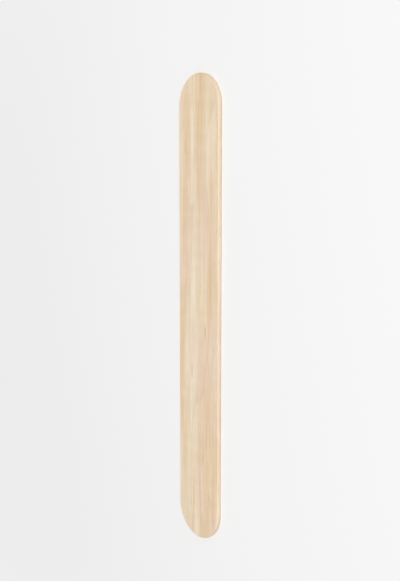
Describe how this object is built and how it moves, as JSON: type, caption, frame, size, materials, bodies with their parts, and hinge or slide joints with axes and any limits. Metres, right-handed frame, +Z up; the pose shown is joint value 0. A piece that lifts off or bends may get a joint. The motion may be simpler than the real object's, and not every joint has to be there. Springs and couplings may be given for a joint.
{
  "type": "craft stick",
  "caption": "Flat pale birch stick with fully rounded ends and softened edges, for handling frozen sweets, stirring or craft work.",
  "frame": {"origin": "centre of the underside, on the surface that the stick lies on", "axes": "+Y along the length, +X across the width, +Z up through the thickness"},
  "size_m": [0.02, 0.152, 0.0016],
  "materials": {
    "pale_birch": "bare tumbled birch veneer, dull with a faint sheen, grain along the length"
  },
  "bodies": {
    "root": {"stick": "pale_birch"}
  },
  "joints": []
}
